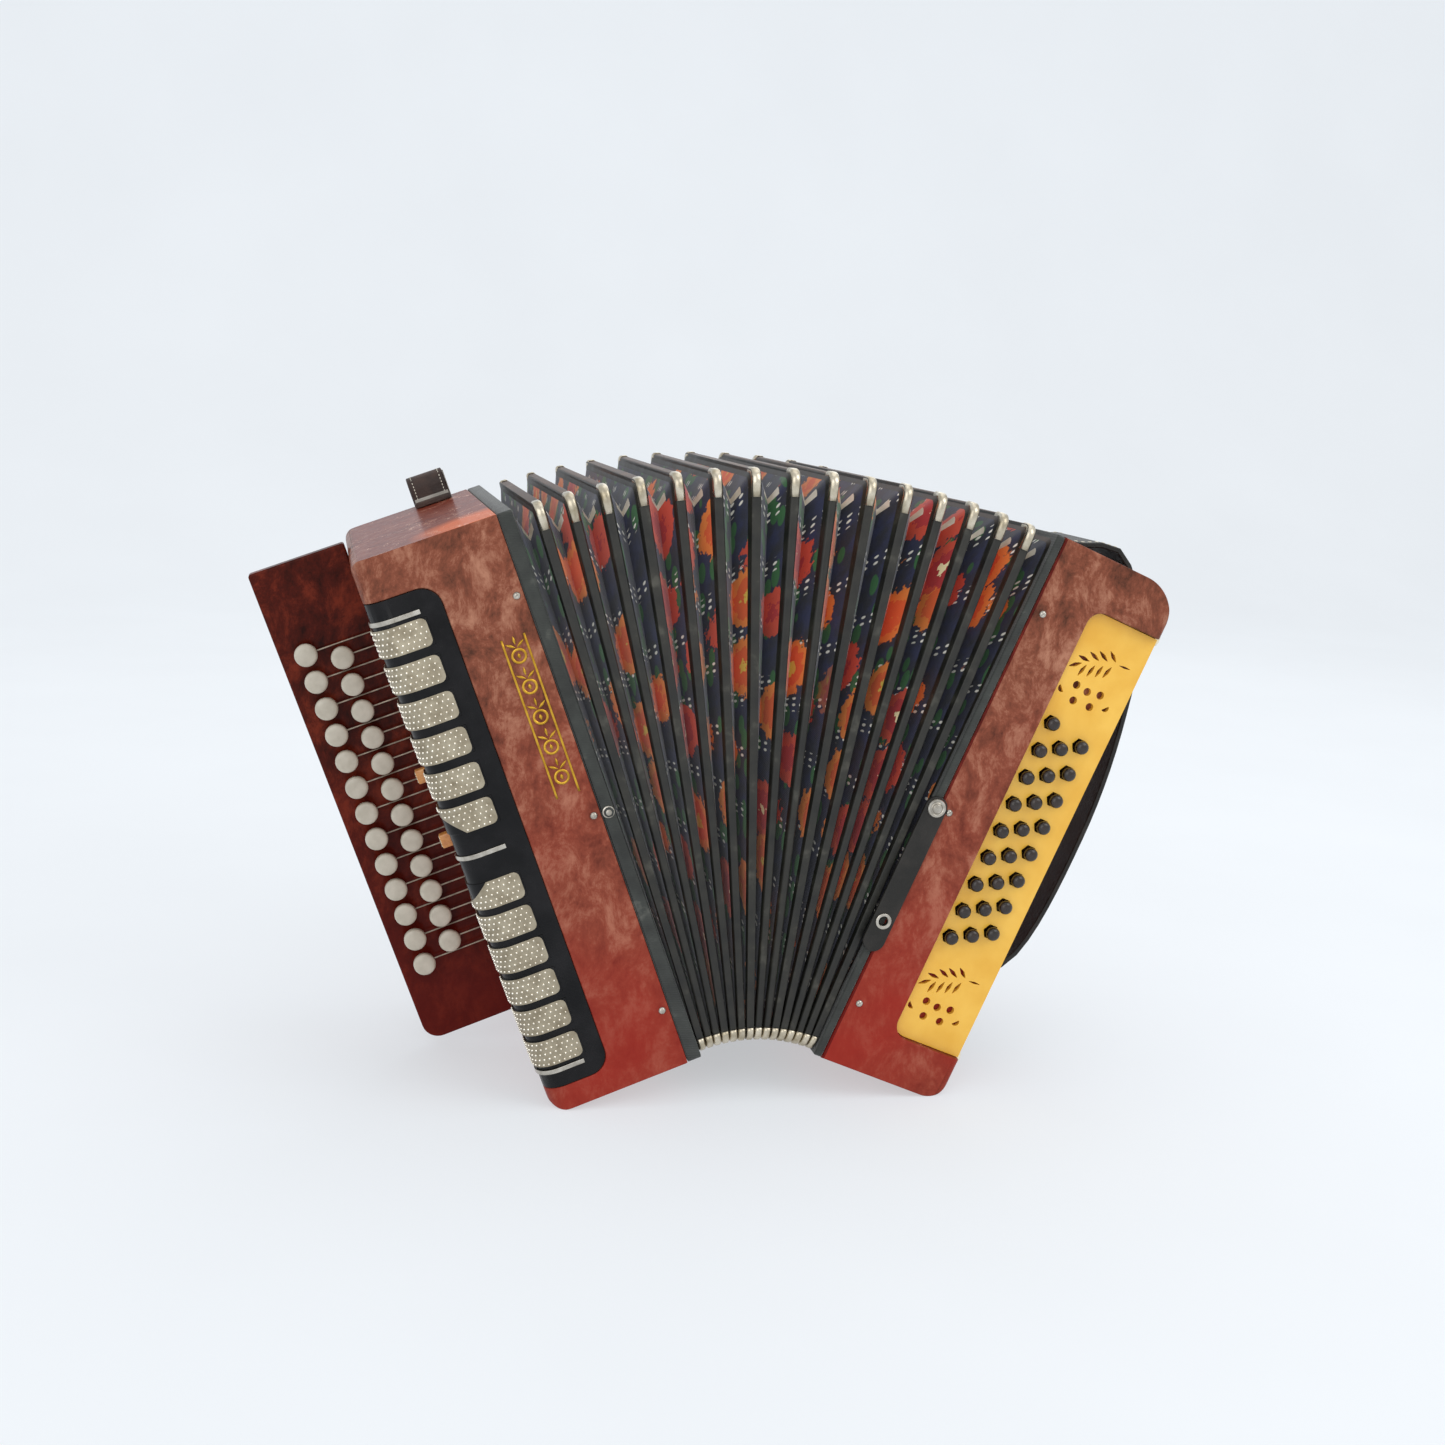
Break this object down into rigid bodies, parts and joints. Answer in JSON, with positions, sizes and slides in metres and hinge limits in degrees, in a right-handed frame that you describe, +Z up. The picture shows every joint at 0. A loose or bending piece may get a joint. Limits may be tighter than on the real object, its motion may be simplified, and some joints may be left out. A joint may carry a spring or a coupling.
{
  "type": "button accordion",
  "caption": "Two-row button accordion with fanned folding bellows, a leather hand strap on the bass side and a strap loop on the treble side.",
  "frame": {"origin": "middle of the underside of the bounding box, on the surface the instrument stands on", "axes": "+X runs from the treble side to the bass side, the front faces -Y, +Z is up. The bellows are fanned open and both casings stand on their bottom outer edges"},
  "size_m": [0.5168, 0.1982, 0.3537],
  "materials": {
    "casing_celluloid": "marbled red-brown celluloid, polished, worn along the edges",
    "board_celluloid": "dark red-brown marbled celluloid, polished",
    "frame_cloth": "black bookbinding cloth, slightly shiny",
    "fold_tape": "black edge tape",
    "bellows_fabric": "navy printed cotton with orange and red flowers",
    "black_gloss": "polished black plastic",
    "yellow_panel": "yellow plastic sheet, half gloss",
    "key_plastic": "grey-cream plastic, half gloss",
    "bass_button_plastic": "dark brown plastic, polished",
    "register_plastic": "amber plastic",
    "leather": "black leather with white edge stitching",
    "nickel": "nickel-plated steel",
    "spruce": "bare spruce"
  },
  "bodies": {
    "treble_side": {"treble_casing": "casing_celluloid", "treble_grille": "black_gloss", "treble_bellows_frame": "frame_cloth", "treble_reed_unit": "spruce", "fretboard": "board_celluloid", "key_axle": "nickel", "shoulder_strap_loop": "leather"},
    "fold_01": {"fold_frame_01": "fold_tape"},
    "fold_02": {"fold_frame_02": "fold_tape"},
    "fold_03": {"fold_frame_03": "fold_tape"},
    "fold_04": {"fold_frame_04": "fold_tape"},
    "fold_05": {"fold_frame_05": "fold_tape"},
    "fold_06": {"fold_frame_06": "fold_tape"},
    "fold_07": {"fold_frame_07": "fold_tape"},
    "fold_08": {"fold_frame_08": "fold_tape", "bellows_cloth": "bellows_fabric"},
    "fold_09": {"fold_frame_09": "fold_tape"},
    "fold_10": {"fold_frame_10": "fold_tape"},
    "fold_11": {"fold_frame_11": "fold_tape"},
    "fold_12": {"fold_frame_12": "fold_tape"},
    "fold_13": {"fold_frame_13": "fold_tape"},
    "fold_14": {"fold_frame_14": "fold_tape"},
    "fold_15": {"fold_frame_15": "fold_tape"},
    "bass_side": {"bass_casing": "casing_celluloid", "bass_bellows_frame": "frame_cloth", "bass_reed_unit": "spruce", "bass_panel": "yellow_panel", "hand_strap": "leather"},
    "outer_key_01": {"outer_key_01": "key_plastic"},
    "outer_key_02": {"outer_key_02": "key_plastic"},
    "outer_key_03": {"outer_key_03": "key_plastic"},
    "outer_key_04": {"outer_key_04": "key_plastic"},
    "outer_key_05": {"outer_key_05": "key_plastic"},
    "outer_key_06": {"outer_key_06": "key_plastic"},
    "outer_key_07": {"outer_key_07": "key_plastic"},
    "outer_key_08": {"outer_key_08": "key_plastic"},
    "outer_key_09": {"outer_key_09": "key_plastic"},
    "outer_key_10": {"outer_key_10": "key_plastic"},
    "outer_key_11": {"outer_key_11": "key_plastic"},
    "outer_key_12": {"outer_key_12": "key_plastic"},
    "outer_key_13": {"outer_key_13": "key_plastic"},
    "inner_key_01": {"inner_key_01": "key_plastic"},
    "inner_key_02": {"inner_key_02": "key_plastic"},
    "inner_key_03": {"inner_key_03": "key_plastic"},
    "inner_key_04": {"inner_key_04": "key_plastic"},
    "inner_key_05": {"inner_key_05": "key_plastic"},
    "inner_key_06": {"inner_key_06": "key_plastic"},
    "inner_key_07": {"inner_key_07": "key_plastic"},
    "inner_key_08": {"inner_key_08": "key_plastic"},
    "inner_key_09": {"inner_key_09": "key_plastic"},
    "inner_key_10": {"inner_key_10": "key_plastic"},
    "inner_key_11": {"inner_key_11": "key_plastic"},
    "inner_key_12": {"inner_key_12": "key_plastic"},
    "bass_row_1": {"bass_button_row_1": "bass_button_plastic"},
    "bass_row_2": {"bass_button_row_2": "bass_button_plastic"},
    "bass_row_3": {"bass_button_row_3": "bass_button_plastic"},
    "air_button": {"air_button": "bass_button_plastic"},
    "register_tab_1": {"register_tab_1": "register_plastic"},
    "register_tab_2": {"register_tab_2": "register_plastic"},
    "closing_strap": {"closing_strap": "leather"}
  },
  "joints": [
    {"name": "bellows_hinge_01", "type": "hinge", "parent": "treble_side", "child": "fold_01", "pos_m": [-0.01095, 0.0008, 0.02982], "axis": [0, 1, 0], "range_deg": [-1.91, 0.86], "deforming": ["bellows_cloth"]},
    {"name": "bellows_hinge_02", "type": "hinge", "parent": "fold_01", "child": "fold_02", "pos_m": [-0.00673, 0.0008, 0.03125], "axis": [0, 1, 0], "range_deg": [-2.14, 0.98]},
    {"name": "bellows_hinge_03", "type": "hinge", "parent": "fold_02", "child": "fold_03", "pos_m": [-0.00245, 0.0008, 0.03251], "axis": [0, 1, 0], "range_deg": [-2.34, 1.06]},
    {"name": "bellows_hinge_04", "type": "hinge", "parent": "fold_03", "child": "fold_04", "pos_m": [0.00188, 0.0008, 0.03358], "axis": [0, 1, 0], "range_deg": [-2.52, 1.14]},
    {"name": "bellows_hinge_05", "type": "hinge", "parent": "fold_04", "child": "fold_05", "pos_m": [0.00625, 0.0008, 0.03445], "axis": [0, 1, 0], "range_deg": [-2.67, 1.21]},
    {"name": "bellows_hinge_06", "type": "hinge", "parent": "fold_05", "child": "fold_06", "pos_m": [0.01066, 0.0008, 0.0351], "axis": [0, 1, 0], "range_deg": [-2.79, 1.26]},
    {"name": "bellows_hinge_07", "type": "hinge", "parent": "fold_06", "child": "fold_07", "pos_m": [0.0151, 0.0008, 0.03553], "axis": [0, 1, 0], "range_deg": [-2.87, 1.3]},
    {"name": "bellows_hinge_08", "type": "hinge", "parent": "fold_07", "child": "fold_08", "pos_m": [0.01956, 0.0008, 0.03571], "axis": [0, 1, 0], "range_deg": [-2.91, 1.32]},
    {"name": "bellows_hinge_09", "type": "hinge", "parent": "fold_08", "child": "fold_09", "pos_m": [0.02402, 0.0008, 0.03565], "axis": [0, 1, 0], "range_deg": [-2.91, 1.32]},
    {"name": "bellows_hinge_10", "type": "hinge", "parent": "fold_09", "child": "fold_10", "pos_m": [0.02847, 0.0008, 0.03535], "axis": [0, 1, 0], "range_deg": [-2.87, 1.3]},
    {"name": "bellows_hinge_11", "type": "hinge", "parent": "fold_10", "child": "fold_11", "pos_m": [0.0329, 0.0008, 0.03482], "axis": [0, 1, 0], "range_deg": [-2.79, 1.26]},
    {"name": "bellows_hinge_12", "type": "hinge", "parent": "fold_11", "child": "fold_12", "pos_m": [0.03729, 0.0008, 0.03406], "axis": [0, 1, 0], "range_deg": [-2.67, 1.21]},
    {"name": "bellows_hinge_13", "type": "hinge", "parent": "fold_12", "child": "fold_13", "pos_m": [0.04164, 0.0008, 0.03307], "axis": [0, 1, 0], "range_deg": [-2.52, 1.14]},
    {"name": "bellows_hinge_14", "type": "hinge", "parent": "fold_13", "child": "fold_14", "pos_m": [0.04594, 0.0008, 0.03189], "axis": [0, 1, 0], "range_deg": [-2.34, 1.06]},
    {"name": "bellows_hinge_15", "type": "hinge", "parent": "fold_14", "child": "fold_15", "pos_m": [0.05019, 0.0008, 0.03052], "axis": [0, 1, 0], "range_deg": [-2.14, 0.98]},
    {"name": "bellows_hinge_16", "type": "hinge", "parent": "fold_15", "child": "bass_side", "pos_m": [0.05437, 0.0008, 0.02898], "axis": [0, 1, 0], "range_deg": [-1.93, 0.88]},
    {"name": "outer_key_01_press", "type": "hinge", "parent": "treble_side", "child": "outer_key_01", "pos_m": [-0.17846, 0.0058, 0.25441], "axis": [0.3546, 0, -0.935], "range_deg": [0, 3.33], "stiffness_Nm_per_rad": 0.3, "springref_deg": -3.44},
    {"name": "outer_key_02_press", "type": "hinge", "parent": "treble_side", "child": "outer_key_02", "pos_m": [-0.17272, 0.0058, 0.23927], "axis": [0.3546, 0, -0.935], "range_deg": [0, 3.33], "stiffness_Nm_per_rad": 0.3, "springref_deg": -3.44},
    {"name": "outer_key_03_press", "type": "hinge", "parent": "treble_side", "child": "outer_key_03", "pos_m": [-0.16697, 0.0058, 0.22412], "axis": [0.3546, 0, -0.935], "range_deg": [0, 3.33], "stiffness_Nm_per_rad": 0.3, "springref_deg": -3.44},
    {"name": "outer_key_04_press", "type": "hinge", "parent": "treble_side", "child": "outer_key_04", "pos_m": [-0.16123, 0.0058, 0.20897], "axis": [0.3546, 0, -0.935], "range_deg": [0, 3.33], "stiffness_Nm_per_rad": 0.3, "springref_deg": -3.44},
    {"name": "outer_key_05_press", "type": "hinge", "parent": "treble_side", "child": "outer_key_05", "pos_m": [-0.15548, 0.0058, 0.19382], "axis": [0.3546, 0, -0.935], "range_deg": [0, 3.33], "stiffness_Nm_per_rad": 0.3, "springref_deg": -3.44},
    {"name": "outer_key_06_press", "type": "hinge", "parent": "treble_side", "child": "outer_key_06", "pos_m": [-0.14974, 0.0058, 0.17868], "axis": [0.3546, 0, -0.935], "range_deg": [0, 3.33], "stiffness_Nm_per_rad": 0.3, "springref_deg": -3.44},
    {"name": "outer_key_07_press", "type": "hinge", "parent": "treble_side", "child": "outer_key_07", "pos_m": [-0.14399, 0.0058, 0.16353], "axis": [0.3546, 0, -0.935], "range_deg": [0, 3.33], "stiffness_Nm_per_rad": 0.3, "springref_deg": -3.44},
    {"name": "outer_key_08_press", "type": "hinge", "parent": "treble_side", "child": "outer_key_08", "pos_m": [-0.13825, 0.0058, 0.14838], "axis": [0.3546, 0, -0.935], "range_deg": [0, 3.33], "stiffness_Nm_per_rad": 0.3, "springref_deg": -3.44},
    {"name": "outer_key_09_press", "type": "hinge", "parent": "treble_side", "child": "outer_key_09", "pos_m": [-0.13251, 0.0058, 0.13323], "axis": [0.3546, 0, -0.935], "range_deg": [0, 3.33], "stiffness_Nm_per_rad": 0.3, "springref_deg": -3.44},
    {"name": "outer_key_10_press", "type": "hinge", "parent": "treble_side", "child": "outer_key_10", "pos_m": [-0.12676, 0.0058, 0.11809], "axis": [0.3546, 0, -0.935], "range_deg": [0, 3.33], "stiffness_Nm_per_rad": 0.3, "springref_deg": -3.44},
    {"name": "outer_key_11_press", "type": "hinge", "parent": "treble_side", "child": "outer_key_11", "pos_m": [-0.12102, 0.0058, 0.10294], "axis": [0.3546, 0, -0.935], "range_deg": [0, 3.33], "stiffness_Nm_per_rad": 0.3, "springref_deg": -3.44},
    {"name": "outer_key_12_press", "type": "hinge", "parent": "treble_side", "child": "outer_key_12", "pos_m": [-0.11527, 0.0058, 0.08779], "axis": [0.3546, 0, -0.935], "range_deg": [0, 3.33], "stiffness_Nm_per_rad": 0.3, "springref_deg": -3.44},
    {"name": "outer_key_13_press", "type": "hinge", "parent": "treble_side", "child": "outer_key_13", "pos_m": [-0.10953, 0.0058, 0.07265], "axis": [0.3546, 0, -0.935], "range_deg": [0, 3.33], "stiffness_Nm_per_rad": 0.3, "springref_deg": -3.44},
    {"name": "inner_key_01_press", "type": "hinge", "parent": "treble_side", "child": "inner_key_01", "pos_m": [-0.17559, 0.0058, 0.24684], "axis": [0.3546, 0, -0.935], "range_deg": [0, 5.17], "stiffness_Nm_per_rad": 0.3, "springref_deg": -3.44},
    {"name": "inner_key_02_press", "type": "hinge", "parent": "treble_side", "child": "inner_key_02", "pos_m": [-0.16984, 0.0058, 0.23169], "axis": [0.3546, 0, -0.935], "range_deg": [0, 5.17], "stiffness_Nm_per_rad": 0.3, "springref_deg": -3.44},
    {"name": "inner_key_03_press", "type": "hinge", "parent": "treble_side", "child": "inner_key_03", "pos_m": [-0.1641, 0.0058, 0.21654], "axis": [0.3546, 0, -0.935], "range_deg": [0, 5.17], "stiffness_Nm_per_rad": 0.3, "springref_deg": -3.44},
    {"name": "inner_key_04_press", "type": "hinge", "parent": "treble_side", "child": "inner_key_04", "pos_m": [-0.15835, 0.0058, 0.2014], "axis": [0.3546, 0, -0.935], "range_deg": [0, 5.17], "stiffness_Nm_per_rad": 0.3, "springref_deg": -3.44},
    {"name": "inner_key_05_press", "type": "hinge", "parent": "treble_side", "child": "inner_key_05", "pos_m": [-0.15261, 0.0058, 0.18625], "axis": [0.3546, 0, -0.935], "range_deg": [0, 5.17], "stiffness_Nm_per_rad": 0.3, "springref_deg": -3.44},
    {"name": "inner_key_06_press", "type": "hinge", "parent": "treble_side", "child": "inner_key_06", "pos_m": [-0.14687, 0.0058, 0.1711], "axis": [0.3546, 0, -0.935], "range_deg": [0, 5.17], "stiffness_Nm_per_rad": 0.3, "springref_deg": -3.44},
    {"name": "inner_key_07_press", "type": "hinge", "parent": "treble_side", "child": "inner_key_07", "pos_m": [-0.14112, 0.0058, 0.15596], "axis": [0.3546, 0, -0.935], "range_deg": [0, 5.17], "stiffness_Nm_per_rad": 0.3, "springref_deg": -3.44},
    {"name": "inner_key_08_press", "type": "hinge", "parent": "treble_side", "child": "inner_key_08", "pos_m": [-0.13538, 0.0058, 0.14081], "axis": [0.3546, 0, -0.935], "range_deg": [0, 5.17], "stiffness_Nm_per_rad": 0.3, "springref_deg": -3.44},
    {"name": "inner_key_09_press", "type": "hinge", "parent": "treble_side", "child": "inner_key_09", "pos_m": [-0.12963, 0.0058, 0.12566], "axis": [0.3546, 0, -0.935], "range_deg": [0, 5.17], "stiffness_Nm_per_rad": 0.3, "springref_deg": -3.44},
    {"name": "inner_key_10_press", "type": "hinge", "parent": "treble_side", "child": "inner_key_10", "pos_m": [-0.12389, 0.0058, 0.11051], "axis": [0.3546, 0, -0.935], "range_deg": [0, 5.17], "stiffness_Nm_per_rad": 0.3, "springref_deg": -3.44},
    {"name": "inner_key_11_press", "type": "hinge", "parent": "treble_side", "child": "inner_key_11", "pos_m": [-0.11814, 0.0058, 0.09537], "axis": [0.3546, 0, -0.935], "range_deg": [0, 5.17], "stiffness_Nm_per_rad": 0.3, "springref_deg": -3.44},
    {"name": "inner_key_12_press", "type": "hinge", "parent": "treble_side", "child": "inner_key_12", "pos_m": [-0.1124, 0.0058, 0.08022], "axis": [0.3546, 0, -0.935], "range_deg": [0, 5.17], "stiffness_Nm_per_rad": 0.3, "springref_deg": -3.44},
    {"name": "bass_row_1_press", "type": "slide", "parent": "bass_side", "child": "bass_row_1", "axis": [0, 1, 0], "range_m": [0, 0.0035], "stiffness_N_per_m": 400, "springref_m": -0.002},
    {"name": "bass_row_2_press", "type": "slide", "parent": "bass_side", "child": "bass_row_2", "axis": [0, 1, 0], "range_m": [0, 0.0035], "stiffness_N_per_m": 400, "springref_m": -0.002},
    {"name": "bass_row_3_press", "type": "slide", "parent": "bass_side", "child": "bass_row_3", "axis": [0, 1, 0], "range_m": [0, 0.0035], "stiffness_N_per_m": 400, "springref_m": -0.002},
    {"name": "air_button_press", "type": "slide", "parent": "bass_side", "child": "air_button", "axis": [-0.9257, 0, 0.3783], "range_m": [0, 0.0035], "stiffness_N_per_m": 500, "springref_m": -0.002},
    {"name": "register_1_slide", "type": "slide", "parent": "treble_side", "child": "register_tab_1", "axis": [-0.3546, 0, 0.935], "range_m": [0, 0.007]},
    {"name": "register_2_slide", "type": "slide", "parent": "treble_side", "child": "register_tab_2", "axis": [-0.3546, 0, 0.935], "range_m": [0, 0.007]},
    {"name": "closing_strap_swing", "type": "hinge", "parent": "bass_side", "child": "closing_strap", "pos_m": [0.11523, -0.0945, 0.17101], "axis": [0, 1, 0], "range_deg": [0, 62]}
  ],
  "couplings": [
    {"joint": "bellows_hinge_02", "follows": "bellows_hinge_01", "ratio": 1.109},
    {"joint": "bellows_hinge_03", "follows": "bellows_hinge_01", "ratio": 1.2116},
    {"joint": "bellows_hinge_04", "follows": "bellows_hinge_01", "ratio": 1.3039},
    {"joint": "bellows_hinge_05", "follows": "bellows_hinge_01", "ratio": 1.3825},
    {"joint": "bellows_hinge_06", "follows": "bellows_hinge_01", "ratio": 1.4442},
    {"joint": "bellows_hinge_07", "follows": "bellows_hinge_01", "ratio": 1.4867},
    {"joint": "bellows_hinge_08", "follows": "bellows_hinge_01", "ratio": 1.5084},
    {"joint": "bellows_hinge_09", "follows": "bellows_hinge_01", "ratio": 1.5084},
    {"joint": "bellows_hinge_10", "follows": "bellows_hinge_01", "ratio": 1.4867},
    {"joint": "bellows_hinge_11", "follows": "bellows_hinge_01", "ratio": 1.4442},
    {"joint": "bellows_hinge_12", "follows": "bellows_hinge_01", "ratio": 1.3825},
    {"joint": "bellows_hinge_13", "follows": "bellows_hinge_01", "ratio": 1.3039},
    {"joint": "bellows_hinge_14", "follows": "bellows_hinge_01", "ratio": 1.2116},
    {"joint": "bellows_hinge_15", "follows": "bellows_hinge_01", "ratio": 1.109},
    {"joint": "bellows_hinge_16", "follows": "bellows_hinge_01", "ratio": 1}
  ]
}
